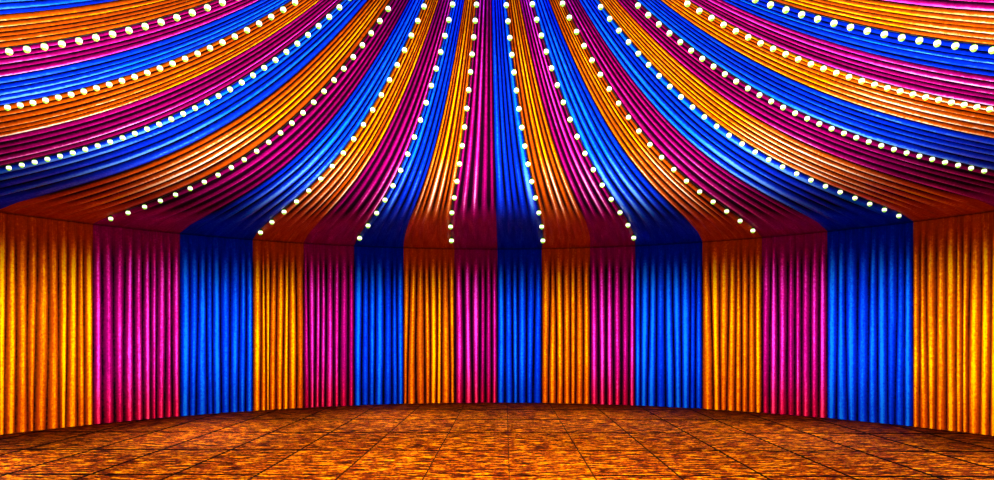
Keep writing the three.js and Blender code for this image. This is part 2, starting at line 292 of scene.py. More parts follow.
# Polyester satin, woven with long floats. Its colour follows the height of each fold: painted highlight along
# the crests and painted shade in the grooves, besides its own shine
def satinMaterial(colour):
    look = satins[colour]
    material, tree, shader = startMaterial(f"{colour}PolyesterSatin")
    place = addNode(tree, "TexCoord").outputs["Object"]
    height = addNode(tree, "SeparateXYZ", links={"Vector": place}).outputs["Z"]
    crest = addNode(tree, "Attribute", attribute_name="crest").outputs["Fac"]
    cloth = addNode(tree, "UVMap", uv_map="cloth")
    threadScale = addNode(tree, "Mapping", {
        "Scale": patternScale(*satinCare["threads"], panelWidth=roomPanel)}, {"Vector": cloth})
    threads = addNode(tree, "TexNoise", {"Scale": 1, "Detail": 4, "Roughness": 0.6}, {"Vector": threadScale})
    crush = addNode(tree, "TexNoise", {"Scale": 1000 / satinCare["crush"], "Detail": 3, "Roughness": 0.75},
                    {"Vector": place})
    fadeScale = addNode(tree, "Mapping", {
        "Scale": patternScale(*satinCare["fade"], panelWidth=roomPanel)}, {"Vector": cloth})
    fade = addNode(tree, "TexNoise", {"Scale": 1, "Detail": 2}, {"Vector": fadeScale})
    fine = addNode(tree, "Mix", {"Factor": 0.55}, {"A": threads, "B": crush})
    grain = addNode(tree, "Mix", {"Factor": 0.3}, {"A": fine, "B": fade})
    least, most = satinCare["grain"]
    spread = addNode(tree, "MapRange", {"From Min": 0.34, "From Max": 0.66, "To Min": least, "To Max": most},
                     {"Value": grain})
    level = addNode(tree, "Math", links={0: spread, 1: crest}, operation="ADD")
    # The height of the fold picks the colour: painted shade in the grooves, painted highlight on the crests
    shade = addNode(tree, "ValToRGB", links={"Fac": level})
    setRamp(shade, *[(stop, look[part]) for part, stop in satinCare["levels"].items()])
    # Painted shade at the foot of the wall, tinted warm as if lit from the floor: darker and redder towards
    # the bottom
    low, full = satinCare["footShade"]
    hem = addNode(tree, "MapRange", {"From Min": low, "From Max": full}, {"Value": height},
                  interpolation_type="SMOOTHSTEP")
    footShaded = addNode(tree, "Mix", {7: hexColour(look["footShade"])}, {"Factor": hem, 6: shade},
                      data_type="RGBA", blend_type="MULTIPLY")
    # Painted highlight: within a band of heights, the lining's highest crests turn pale
    starts, tight, slack, ends = satinCare["paintedHighlight"]
    inward = addNode(tree, "MapRange", {"From Min": starts, "From Max": tight}, {"Value": height})
    outward = addNode(tree, "MapRange", {"From Min": ends, "From Max": slack}, {"Value": height})
    band = addNode(tree, "Math", links={0: inward, 1: outward}, operation="MULTIPLY")
    low, full = satinCare["highlightCrest"]
    top = addNode(tree, "MapRange", {"From Min": low, "From Max": full}, {"Value": level})
    highlightMask = addNode(tree, "Math", links={0: band, 1: top}, operation="MULTIPLY")
    paintedHighlight = addNode(tree, "Mix", {7: hexColour(look["paintedHighlight"])}, {"Factor": highlightMask, 6: footShaded},
                      data_type="RGBA")
    # Painted shadow: a dark line in the groove colour where the wall curtains meet the lining
    half = satinCare["seam"]
    fromSeam = addNode(tree, "Math", {1: ceilingEdge - half / 2}, {0: height}, operation="SUBTRACT")
    distance = addNode(tree, "Math", links={0: fromSeam}, operation="ABSOLUTE")
    sewn = addNode(tree, "MapRange", {"From Min": half, "From Max": 0, "To Max": 0.9}, {"Value": distance})
    seamShadowed = addNode(tree, "Mix", {7: hexColour(look["groove"])}, {"Factor": sewn, 6: paintedHighlight},
                     data_type="RGBA")
    bump = addNode(tree, "Bump", {"Strength": 0.1, "Distance": 0.002}, {"Height": threads})
    (flank, dull), (ridge, shiny) = satinCare["dull"], satinCare["shiny"]
    polish = addNode(tree, "MapRange", {"From Min": flank, "From Max": ridge, "To Min": dull,
                                        "To Max": shiny}, {"Value": level})
    setSockets(tree, shader, {"Specular IOR Level": 0.045, "Specular Tint": hexColour(look["shine"])},
               {"Base Color": seamShadowed, "Normal": bump, "Roughness": polish})
    return material


satinMaterials = [satinMaterial(colour) for colour in satins]

# Wall curtains

curtain = {
    "depth": 0.058,
    "clear": 0.002,  # from the canvas side of the room's wall
    "overlap": 0.004,  # with the lining that they are sewn to
    "rows": 22,
    "perFold": 10,
    "uneven": 0.3,
    "heights": (0.78, 1.02),  # lowest and highest pleat, as shares of the depth
    "sway": 0.16,
    "sharpness": (1.1, 1.1, 1.8),
    "usualFolds": 8,
    "folds": {-8: 10, -7: 10, -6: 9, -3: 7, -1: 6, 0: 6, 1: 7, 2: 6, 3: 9, 6: 9, 7: 10},
    "foot": 0.012,
    "gathered": (0.86, 0.45),  # share of the height where the pleats start to shrink, and by how much they do
    "flat": (0.1, 0.7),  # the painted fold shading gives way to an even, darker painted shade between these depths below the lining
    # painted shade: the level coloured near the joint of wall and lining
    "jointShadeLevel": 0.67,
    "grooveLift": (0.08, 0.25),  # how much the painted shade in the grooves is lightened, and what is added at the sides of the room
}


# The fold height that the colour is drawn from, with painted shade near the joint of wall and lining: there
# the fold pattern gives way to an even, darker level
def shadedNearJoint(crest, distance, reach):
    share = np.clip((distance - reach[0]) / (reach[1] - reach[0]), 0, 1)
    share = share * share * (3 - 2 * share)
    return crest * share + curtain["jointShadeLevel"] * (1 - share)


def curtainPiece(name, first, last, bottom, replaced, seed):
    draw = random.Random(seed)
    edges, owners = foldEdges(first, last, lambda panel: curtain["folds"].get(panel, curtain["usualFolds"]),
                              curtain["uneven"], draw)
    seam, crest, stripes = pleats(edges, owners, curtain, draw)
    along = np.linspace(0, 1, curtain["rows"])[:, None]
    height = bottom + along * (ceilingEdge + curtain["overlap"] - bottom)
    gatherStart, shrink = curtain["gathered"]
    fullness = 1 - shrink * np.clip((along - gatherStart) / (1 - gatherStart), 0, 1) ** 2
    azimuth = fabricAzimuth(seam)
    radius = curtainOuter - curtain["clear"] - curtain["depth"] * crest * fullness
    places = ringPoints(radius, azimuth, height)
    # lightens the painted groove shade, more at the sides of the room
    grooveLift = curtain["grooveLift"][0] + curtain["grooveLift"][1] * np.sin(azimuth) ** 2
    # Painted shade: the top of the wall is coloured evenly darker
    shadingLevel = shadedNearJoint(1 - (1 - crest) * (1 - grooveLift), ceilingEdge - height, curtain["flat"])
    bm = clothMesh(places, clothMap(seam, height), shadingLevel, stripes)
    piece = finishPiece(name, bm, satinMaterials, [replaced])


# A quarter's seams, without the doorway
def beside(first, last):
    return max(first, -tent["doorSeam"]), min(last, tent["doorSeam"])


for quarter, ends in tent["quarters"].items():
    curtainPiece(f"wall_curtain_{quarter}", *beside(*ends), deckTop + curtain["foot"], f"curtain_{quarter}",
                 sum(map(ord, quarter)))
print("curtains hung")

# Ceiling lining

lining = {
    "edgeRadius": 9.0,
    "rise": 0.41,  # the even part of its climb to the crown
    "curve": 2.315,  # the part that curves up at the crown
    "power": 4.4,
    "clear": 0.001,  # below the attic
    "overlap": 0.01,  # with the rosette
    "depth": 0.05,
    "narrow": (5.5, 0.34),  # pleats in a panel, and how deep they can be for their width
    "sewn": (0.05, 12),  # share of the depth at the wall, and how fast it grows from there
    "rows": 60,
    "spacing": 0.85,  # power that brings the rows closer together at the crown
    "perFold": 8,
    "uneven": 0.3,
    "heights": (0.68, 1.06),
    "sway": 0.07,
    "sharpness": (1.05, 1.5, 2.4),
    "folds": (5, 6, 5),
    "flat": (0.3, 1.9),  # the painted fold shading gives way to an even, darker painted shade between these distances from the wall
    "flatMiddle": (2.1, 2.6),  # and this much further in at the middle of the far wall
}


def liningSag(radius):
    inward = 1 - radius / lining["edgeRadius"]
    return ceilingEdge + lining["rise"] * inward + lining["curve"] * np.maximum(inward, 0) ** lining["power"]


# Depth of the pleats: shallow where they are sewn to the wall, and as they narrow towards the crown
def liningDepth(radius):
    count, deepest = lining["narrow"]
    atWall, growth = lining["sewn"]
    pleatWidth = radius * 2 * math.pi / tent["panels"] / count
    inward = (curtainOuter - radius) / (curtainOuter - rosetteRadius)
    return np.minimum(lining["depth"], deepest * pleatWidth) * np.clip(atWall + inward * growth, 0, 1)


def ceilingPiece(quarter, first, last, seed):
    draw = random.Random(seed)
    edges, owners = foldEdges(first, last, lambda panel: lining["folds"][panel % 3], lining["uneven"], draw)
    seam, crest, stripes = pleats(edges, owners, lining, draw)
    along = np.linspace(0, 1, lining["rows"])[:, None] ** lining["spacing"]
    radius = curtainOuter + along * (rosetteRadius + lining["overlap"] - curtainOuter)
    azimuth = liningAzimuth(seam, radius)
    height = liningSag(radius) + lining["clear"] + liningDepth(radius) * (1 - crest)
    places = ringPoints(radius, azimuth, height)
    reach = [start + added * np.cos(azimuth) ** 4
             for start, added in zip(lining["flat"], lining["flatMiddle"])]
    # Painted shade: the lining near the wall is coloured evenly darker, furthest in at the far wall
    shadingLevel = shadedNearJoint(crest, curtainOuter - radius, reach)
    bm = clothMesh(places, clothMap(seam, curtainOuter - radius), shadingLevel, stripes)
    piece = finishPiece(f"ceiling_lining_{quarter}", bm, satinMaterials, [f"ceiling_{quarter}"])


for quarter, ends in tent["quarters"].items():
    ceilingPiece(quarter, *ends, 100 + sum(map(ord, quarter)))
print("ceiling lined")

# Strings of lights

strings = {
    "seams": range(1, backSeam, 2),  # every second one, on both sides
    "start": (0.35, 0.75),  # first bulb from the wall, at the sides and what is added at the far wall
    "nearCrown": 0.13,  # spacing of the bulbs, which closes up towards the crown
    "atWall": (1.5, 1.5),  # what is added to it at the far wall, and the power by which it fades
    "bulbEnds": 0.06,  # no bulb is nearer to the wall or the rosette
    "globe": 0.0255,
    "growth": (0.12, 1.05),  # how much larger globes are at the wall, at the sides and more at the far wall
    "growthPower": 1.2,
    "length": 1.15,  # of a globe, in its widths
    "glow": 1.6,
    "lacquerGlow": 0.85,
    "holder": 0.014,
    "holderLength": 0.02,
    "cable": 0.004,
    "cableEnds": (0.07, 0.035),  # from the wall and from the rosette
    "cableSteps": 60,
    "feederSag": 0.02,
    "clear": 0.003,
}


def stringStations(azimuth):
    radii = np.linspace(curtainOuter - strings["bulbEnds"], rosetteRadius + strings["bulbEnds"], 200)
    heights = liningSag(radii)
    lengths = np.concatenate([[0], np.cumsum(np.hypot(np.diff(radii), np.diff(heights)))])
    places, place = [], strings["start"][0] + strings["start"][1] * math.cos(azimuth) ** 2
    added, power = strings["atWall"]
    while place < lengths[-1]:
        places.append(float(np.interp(place, lengths, radii)))
        left = (lengths[-1] - place) / lengths[-1]
        place += strings["nearCrown"] + added * math.cos(azimuth) ** 2 * left ** power
    return places


def oneMesh(name, build):
    bm = bmesh.new()
    build(bm)
    for face in bm.faces:
        face.smooth = True
    mesh = bpy.data.meshes.new(name)
    bm.to_mesh(mesh)
    bm.free()
    return mesh


# A globe and its lamp holder, drawn for a globe of radius 1 that hangs from the origin
def bulbShape(bm):
    middle = -strings["holderLength"] / strings["globe"] - 0.8  # the holder grips its neck
    bmesh.ops.create_icosphere(bm, subdivisions=2, radius=1, matrix=Matrix.Translation((0, 0, middle)))
    for face in bm.faces:
        level = face.calc_center_median().z - middle
        face.material_index = int(level > 0.4 or level < -0.6)  # the lacquered neck and tip
    centre = Matrix.Translation((0, 0, -middle))
    bmesh.ops.scale(bm, verts=bm.verts, vec=(1, 1, strings["length"]), space=centre)


def holderShape(bm):
    length = strings["holderLength"] / strings["globe"]
    width = strings["holder"] / strings["globe"]
    bmesh.ops.create_cone(bm, cap_ends=True, segments=8, radius1=width, radius2=width * 0.75, depth=length,
                          matrix=Matrix.Translation((0, 0, -length / 2)))


# Frosted glass globe lit from within, and the lime lacquer on its neck and tip
def globeMaterial(name, colour, strength):
    material, tree, shader = startMaterial(name)
    setSockets(tree, shader, {"Base Color": hexColour(colour), "Roughness": 0.35,
                              "Emission Color": hexColour(colour), "Emission Strength": strength})
    material.cycles.emission_sampling = "NONE"
    return material


# Moulded black rubber: dull, with a fine pitted skin, its pits 2.5 mm apart
def rubberMaterial():
    material, tree, shader = startMaterial("mouldedRubber")
    place = addNode(tree, "TexCoord").outputs["Object"]
    pits = addNode(tree, "TexNoise", {"Scale": 1000 / 2.5, "Detail": 3}, {"Vector": place})
    tone = addNode(tree, "ValToRGB", links={"Fac": pits})
    setRamp(tone, (0.3, "#0c0c0b"), (0.7, "#1c1b19"))
    setSockets(tree, shader, {"Roughness": 0.6}, {"Base Color": tone})
    return material


# A closed round tube along a path of points
def sweepTube(bm, path, radius, sides):
    tangent = (path[1] - path[0]).normalized()
    turn = tangent.to_track_quat("Z", "Y").to_matrix().to_4x4()
    rim = bmesh.ops.create_circle(bm, cap_ends=True, segments=sides, radius=radius,
                                  matrix=Matrix.Translation(path[0]) @ turn)
    face, rings = rim["verts"][0].link_faces[0], []
    for before, after in zip(path, path[1:]):
        result = bmesh.ops.extrude_face_region(bm, geom=[face, *rings])  # the first face stays as a cap
        face = next(item for item in result["geom"] if isinstance(item, bmesh.types.BMFace))
        rings = face.edges[:]
        bmesh.ops.translate(bm, verts=face.verts, vec=after - before)


# The ring under the crown that joins the cables
def feederRing(bm, radius):
    side = Matrix.Rotation(math.pi / 2, 4, "X")
    place = Matrix.Translation((radius, 0, float(liningSag(radius)) - strings["feederSag"]))
    rim = bmesh.ops.create_circle(bm, segments=6, radius=strings["cable"] * 1.5, matrix=place @ side)
    ring = rim["verts"] + list({edge for vertex in rim["verts"] for edge in vertex.link_edges})
    bmesh.ops.spin(bm, geom=ring, cent=(0, 0, 0), axis=(0, 0, 1), angle=2 * math.pi, steps=96,
                   use_merge=True, use_duplicate=False)


def buildStrings():
    bulbs, holders, cables = bmesh.new(), bmesh.new(), bmesh.new()
    bulbMesh, holderMesh = oneMesh("bulb", bulbShape), oneMesh("holder", holderShape)
    first, last = curtainOuter - strings["cableEnds"][0], rosetteRadius + strings["cableEnds"][1]
    for seam in [side * number for number in strings["seams"] for side in (1, -1)]:
        azimuth = float(fabricAzimuth(seam))
        growth = strings["growth"][0] + strings["growth"][1] * math.cos(azimuth) ** 2
        for radius in stringStations(azimuth):
            height = liningSag(radius) + liningDepth(radius) - strings["clear"]
            spot = Vector(ringPoints(radius, liningAzimuth(seam, radius), float(height)))
            larger = 1 + growth * (radius / curtainOuter) ** strings["growthPower"]
            size = Matrix.Scale(strings["globe"] * larger, 4)
            for target, source in ((bulbs, bulbMesh), (holders, holderMesh)):
                copy = source.copy()
                copy.transform(Matrix.Translation(spot) @ size)
                target.from_mesh(copy)
                bpy.data.meshes.remove(copy)
        radii = np.linspace(first, last, strings["cableSteps"])
        heights = liningSag(radii) + liningDepth(radii) - strings["clear"] - strings["cable"]
        path = ringPoints(radii, liningAzimuth(seam, radii), heights)
        sweepTube(cables, [Vector(point) for point in path], strings["cable"], 6)
    bpy.data.meshes.remove(bulbMesh)
    bpy.data.meshes.remove(holderMesh)
    feederRing(cables, last)
    for face in cables.faces:
        face.smooth = True
    bmesh.ops.recalc_face_normals(cables, faces=cables.faces)
    rubber = rubberMaterial()
    finishPiece("light_cables", cables, [rubber], ["light_strings"])
    finishPiece("bulb_holders", holders, [rubber])
    glass = [globeMaterial("frostedGlassGlobe", "#fffbe0", strings["glow"]),
             globeMaterial("limeLacquerOnGlass", "#94e83c", strings["lacquerGlow"])]
    finishPiece("light_bulbs", bulbs, glass)


buildStrings()
print("lights strung")

# Floor deck of square-edged panels

deck = {
    "radius": 9.01,
    "across": 0.97,  # panel width, left to right
    "along": 1.55,
    "firstAcross": 0.19,
    "firstAlong": 1.58,
    "turn": 0.0125,  # the panels lie slightly turned from the camera's line
    "joint": (0.02, 0.036),  # the joints that run along the room, and those across it
    "jointDepth": 0.006,
    "rim": 0.05,  # no joint is nearer to the edge
    "streaks": (250, 52.6),  # mm, the dark streaks of the wood
    "grain": (45.5, 20),  # mm, the finer marks between them, drawn coarse enough to show
    "grime": (0.005, 0.013),  # how far the dark edge reaches from the middle of each kind of joint
    "wear": (1.2, 0.45),  # that edge grows by this share for each metre from the middle, in the far half
    "dust": (6.5, 8.9),  # radii between which painted shade darkens and reddens the floor towards the far wall
    "farHalf": (-4, 0.5),  # both start to show between these distances in front of the middle
    "centreShade": (0.4, 3.6),  # radii of the ring's middle, which is coloured darker: painted shade
}


# Oiled hardwood boards: long dark streaks in an orange-brown ground, and dark joints; painted shade darkens
# the middle and the floor towards the far wall
def floorMaterial():
    material, tree, shader = startMaterial("oiledHardwood")
    place = addNode(tree, "TexCoord").outputs["Object"]
    turned = addNode(tree, "Mapping", {"Rotation": (0, 0, deck["turn"])}, {"Vector": place})
    streakScale = addNode(tree, "Mapping", {"Scale": patternScale(*deck["streaks"])}, {"Vector": turned})
    streaks = addNode(tree, "TexNoise", {"Scale": 1, "Detail": 4, "Roughness": 0.68, "Distortion": 0.15},
                      {"Vector": streakScale})
    grainScale = addNode(tree, "Mapping", {"Scale": patternScale(*deck["grain"])}, {"Vector": turned})
    grain = addNode(tree, "TexNoise", {"Scale": 1, "Detail": 3, "Roughness": 0.6}, {"Vector": grainScale})
    mixed = addNode(tree, "Mix", {"Factor": 0.32}, {"A": streaks, "B": grain})
    # panels are counted from far outside the deck
    start = [40 - first / size for first, size in ((deck["firstAcross"], deck["across"]),
                                                   (deck["firstAlong"], deck["along"]))]
    panelScale = addNode(tree, "Mapping", {"Location": (*start, 0), "Scale": (
        1 / deck["across"], 1 / deck["along"], 0)}, {"Vector": turned})
    panel = addNode(tree, "VectorMath", links={0: panelScale}, operation="FLOOR")
    tone = addNode(tree, "TexWhiteNoise", links={"Vector": panel}, noise_dimensions="3D")
    toned = addNode(tree, "Math", {1: 0.01}, {0: tone, 2: mixed}, operation="MULTIPLY_ADD")
    wood = addNode(tree, "ValToRGB", links={"Fac": toned})
    setRamp(wood, (0.435, "#060100"), (0.49, "#3a0c00"), (0.545, "#862a00"), (0.61, "#e08800"))
    parts = addNode(tree, "SeparateXYZ", links={"Vector": panelScale})
    ground = addNode(tree, "SeparateXYZ", links={"Vector": place})
    fromMiddle = addNode(tree, "VectorMath", links={0: place}, operation="LENGTH")
    near, far = deck["farHalf"]
    farHalfShare = addNode(tree, "MapRange", {"From Min": near, "From Max": far}, {"Value": ground.outputs["Y"]},
                   interpolation_type="SMOOTHSTEP")
    reach = addNode(tree, "Math", links={0: fromMiddle, 1: farHalfShare}, operation="MULTIPLY")
    aside = addNode(tree, "Math", links={0: ground.outputs["X"]}, operation="ABSOLUTE")
    sideways = addNode(tree, "Math", links={0: aside, 1: farHalfShare}, operation="MULTIPLY")
    grimes = []
    for axis, size, width, wear, away in (("X", deck["across"], deck["grime"][0], deck["wear"][0], sideways),
                                          ("Y", deck["along"], deck["grime"][1], deck["wear"][1], reach)):
        widened = addNode(tree, "Math", {0: wear, 2: 1}, {1: away}, operation="MULTIPLY_ADD")
        nearest = addNode(tree, "Math", {1: 0.5}, {0: parts.outputs[axis]}, operation="PINGPONG")
        narrowed = addNode(tree, "Math", links={0: nearest, 1: widened}, operation="DIVIDE")
        grimes.append(addNode(tree, "MapRange", {"From Min": width / size / 2, "From Max": width / size},
                              {"Value": narrowed}))
    clean = addNode(tree, "Math", links=dict(enumerate(grimes)), operation="MINIMUM")
    jointed = addNode(tree, "Mix", {6: hexColour("#0a0301")}, {"Factor": clean, 7: wood}, data_type="RGBA")
    # Painted shade: the floor darker and redder towards the foot of the far wall
    start, end = deck["dust"]
    edge = addNode(tree, "MapRange", {"From Min": start, "From Max": end}, {"Value": reach})
    dusty = addNode(tree, "Mix", {7: hexColour("#9c5848")}, {"Factor": edge, 6: jointed},
                    data_type="RGBA", blend_type="MULTIPLY")
    # Painted shade: the middle of the floor, under the crown light, is coloured darker
    start, end = deck["centreShade"]
    middle = addNode(tree, "MapRange", {"From Min": end, "From Max": start}, {"Value": fromMiddle},
                     interpolation_type="SMOOTHSTEP")
    centreShaded = addNode(tree, "Mix", {7: hexColour("#dcd0c4")}, {"Factor": middle, 6: dusty},
                      data_type="RGBA", blend_type="MULTIPLY")
    bump = addNode(tree, "Bump", {"Strength": 0.2, "Distance": 0.002}, {"Height": mixed})
    setSockets(tree, shader, {"Roughness": 0.8, "Specular IOR Level": 0.04,
                              "Specular Tint": hexColour("#ffa050")}, {"Base Color": centreShaded, "Normal": bump})
    return material


def jointLines():
    alongAxis = Vector((math.sin(deck["turn"]), math.cos(deck["turn"]), 0))
    acrossAxis = Vector((alongAxis.y, -alongAxis.x, 0))
    lines = []
    for normal, first, step, width in ((acrossAxis, deck["firstAcross"], deck["across"], deck["joint"][0]),
                                       (alongAxis, deck["firstAlong"], deck["along"], deck["joint"][1])):
        count = math.ceil(2 * deck["radius"] / step)
        lines += [(normal, first + step * number, width / 2) for number in range(-count, count)
                  if abs(first + step * number) < deck["radius"] - deck["rim"]]
    return lines


def deckPiece():
    bm = bmesh.new()
    base = bmesh.ops.create_circle(bm, cap_ends=True, segments=tent["panels"], radius=deck["radius"])
    grown = bmesh.ops.extrude_face_region(bm, geom=base["verts"][0].link_faces[:])
    top = [item for item in grown["geom"] if isinstance(item, bmesh.types.BMVert)]
    bmesh.ops.translate(bm, verts=top, vec=(0, 0, deckTop))
    surface = deckTop - 0.001
    joints = jointLines()
    for normal, distance, half in joints:
        for side in (-half, half):
            faces = [face for face in bm.faces
                     if face.normal.z > 0.9 or face.calc_center_median().z > surface]
            edges = {edge for face in faces for edge in face.edges}
            verts = {vertex for face in faces for vertex in face.verts}
            bmesh.ops.bisect_plane(bm, geom=[*faces, *edges, *verts], dist=1e-5,
                                   plane_co=normal * (distance + side), plane_no=normal)
    strips = []
    for face in bm.faces:
        middle = face.calc_center_median()
        if middle.z >= surface and any(abs(middle.dot(normal) - distance) < half
                                       for normal, distance, half in joints):
            strips.append(face)
    strips += {edge for face in strips for edge in face.edges}
    sunk = bmesh.ops.extrude_face_region(bm, geom=strips)
    low = [item for item in sunk["geom"] if isinstance(item, bmesh.types.BMVert)]
    bmesh.ops.translate(bm, verts=low, vec=(0, 0, -deck["jointDepth"]))
    bmesh.ops.recalc_face_normals(bm, faces=bm.faces)
    finishPiece("deck_panels", bm, [floorMaterial()], ["floor_deck"])


deckPiece()
print("floor laid")

# Striped canvas outside

canvas = {
    "colours": {"blue": "#0a2cb8", "orange": "#ee6a04", "magenta": "#b4086a"},
    "seamWidth": 0.024,  # share of a panel
    "seamLift": 0.003,
    "thickness": 0.002,
    "weave": 6.25,  # mm, drawn coarser than the real weave so that it shows
    "clouds": (794, 794, 2040),  # mm, the paler and duller patches
    "creases": (380, 1430),  # mm, the wrinkles that run down it
    "dust": (0, 0.7),  # heights between which it is dusty
    "ribs": (8.7, 16.7),  # mm, of the braid
}


# PVC-coated polyester canvas: a soft gloss over a fine weave, wrinkled down its length, dusty near the ground
def canvasMaterial(name, colour):
    material, tree, shader = startMaterial(name)
    place = addNode(tree, "TexCoord").outputs["Object"]
    height = addNode(tree, "SeparateXYZ", links={"Vector": place}).outputs["Z"]
    cloth = addNode(tree, "UVMap", uv_map="cloth")
    across = addNode(tree, "SeparateXYZ", links={"Vector": cloth}).outputs["X"]
    weave = addNode(tree, "TexNoise", {"Scale": 1000 / canvas["weave"], "Detail": 2}, {"Vector": place})
    cloudScale = addNode(tree, "Mapping", {"Scale": patternScale(*canvas["clouds"])}, {"Vector": place})
    clouds = addNode(tree, "TexNoise", {"Scale": 1, "Detail": 5, "Roughness": 0.6}, {"Vector": cloudScale})
    bottom, top = canvas["dust"]
    low = addNode(tree, "MapRange", {"From Min": bottom, "From Max": top, "To Min": 0.5, "To Max": 0.03},
                  {"Value": height})
    dust = addNode(tree, "Math", links={0: low, 1: clouds}, operation="MULTIPLY")
    plain = addNode(tree, "Mix", {6: hexColour(colour), 7: hexColour("#8d8272")}, {"Factor": dust},
                    data_type="RGBA")
    wrapped = addNode(tree, "Math", {1: 0.5}, {0: across}, operation="PINGPONG")
    half = canvas["seamWidth"] / 2
    welded = addNode(tree, "MapRange", {"From Min": half, "From Max": 1.4 * half, "To Min": 0.35,
                                        "To Max": 0}, {"Value": wrapped})
    seamed = addNode(tree, "Mix", {7: hexColour("#707070")}, {"Factor": welded, 6: plain},
                     data_type="RGBA", blend_type="MULTIPLY")
    rough = addNode(tree, "MapRange", {"To Min": 0.5, "To Max": 0.68}, {"Value": clouds})
    creaseScale = addNode(tree, "Mapping", {
        "Scale": patternScale(*canvas["creases"], panelWidth=canvasPanel)}, {"Vector": cloth})
    creases = addNode(tree, "TexNoise", {"Scale": 1, "Detail": 3, "Roughness": 0.45}, {"Vector": creaseScale})
    soft = addNode(tree, "Bump", {"Strength": 0.5, "Distance": 0.08}, {"Height": creases})
    bump = addNode(tree, "Bump", {"Strength": 0.25, "Distance": 0.002}, {"Height": weave, "Normal": soft})
    setSockets(tree, shader, {"Specular IOR Level": 0.15},
               {"Base Color": seamed, "Roughness": rough, "Normal": bump})
    return material


# Woven gold braid: a ribbed yellow trim
def braidMaterial():
    material, tree, shader = startMaterial("wovenGoldBraid")
    cloth = addNode(tree, "UVMap", uv_map="cloth")
    ribScale = addNode(tree, "Mapping", {
        "Scale": patternScale(*canvas["ribs"], panelWidth=canvasPanel)}, {"Vector": cloth})
    ribs = addNode(tree, "TexWave", {"Scale": 1, "Distortion": 0.6}, {"Vector": ribScale},
                   bands_direction="DIAGONAL").outputs["Fac"]
    tone = addNode(tree, "ValToRGB", links={"Fac": ribs})
    setRamp(tone, (0.1, "#cc8a0c"), (0.9, "#ffcc28"))
    bump = addNode(tree, "Bump", {"Strength": 0.4, "Distance": 0.003}, {"Height": ribs})
    setSockets(tree, shader, {"Roughness": 0.5, "Sheen Weight": 0.3}, {"Base Color": tone, "Normal": bump})
    return material


canvasMaterials = [canvasMaterial(f"{name}CoatedCanvas", code) for name, code in canvas["colours"].items()]
canvasMaterials.append(braidMaterial())
braidStripe = 3  # its place in the list


# Columns of a canvas run: a few across each panel, with a narrow raised weld at each seam
def canvasColumns(first, last, shares):
    half = canvas["seamWidth"] / 2
    inner = [half, 2 * half, *shares, 1 - 2 * half, 1 - half]
    seam = [panel + share for panel in range(first, last) for share in (0, *inner)] + [last]
    seam = np.array(seam, dtype=float)
    weld = np.abs(seam - np.round(seam)) < half * 1.2
    return seam, weld * canvas["seamLift"]


def canvasStripes(seam, rows):
    middles = (seam[:-1] + seam[1:]) / 2
    return np.broadcast_to(np.floor(middles).astype(int) % 3, (rows, len(middles))).copy()


def canvasPiece(name, seam, places, along, stripes, replaced, outward=True, closed=False):
    bm = clothMesh(places, clothMap(seam, along), np.ones(places.shape[:2]), stripes, outward)
    if closed:
        bmesh.ops.remove_doubles(bm, verts=bm.verts, dist=0.0005)
    piece = finishPiece(name, bm, canvasMaterials, replaced)
    thicken(piece, canvas["thickness"], -1)


# Roof canvas, drawn tight over the rafters and sagging a little between them

roof = {
    "rows": 30,
    "spacing": 1.3,  # power that brings the rows closer together at the eave
    "shares": np.linspace(0.1, 0.9, 9),  # columns in a panel
    "sag": 0.07,
    "pucker": (0.012, 0.6),  # height of the creases by the eave, and how far in they are highest
    "puckers": 2.5,  # of them in each panel
    "puckerShift": 2.1,  # radians from one panel to the next
    "hole": 0.56,
    "thickness": 0.02,
}

# Valance along the eave, cut in scallops and edged with braid

valance = {
    "drop": 0.4,
    "inset": 0.01,
    "rows": (0, 0.2, 0.4, 0.6, 0.78, 0.88, 0.96, 0.99, 1),  # shares of its height
    "braidFrom": 4,  # row
    "bead": (0.006, 0.06),  # how thick the edge is, and its share of the height
    "scallops": 2,  # in each panel
    "scallopDepth": 0.13,
    "scallopColumns": 10,
    "flare": 0.024,
    "hang": 0.4,  # share of the flare between the folds
}

# Canvas wall, hanging from the eave beam in soft folds that stand outward only

wall = {
    "rows": 14,
    "shares": np.linspace(0.05, 0.95, 19),
    "foot": 0.004,
    "inset": 0.014,
    "ripple": 0.05,  # depth of the folds at the foot
    "waves": 3.5,  # of them in each panel
    "shift": 2.3,  # radians from one panel to the next
    "wander": 0.5,  # radians, on their way up
    "sharpness": 1.3,
    "tightAtSeams": 0.6,
    "slackBelow": (1.05, 0.8),  # share of the height where the folds start, and the power by which they grow
}
eaveTop = valanceTip + valance["drop"] + roof["thickness"]


def roofHeight(radius):
    share = (eaveRadius - radius) / (eaveRadius - roof["hole"])
    return eaveTop + share * (canopyTop - eaveTop)


def roofSag(seam, radius):
    between = np.mod(seam - tent["firstRafter"], tent["rafterEvery"]) / tent["rafterEvery"]
    along = (eaveRadius - radius) / (eaveRadius - roof["hole"])
    return roof["sag"] * np.sin(math.pi * between) ** 2 * 4 * along * (1 - along)


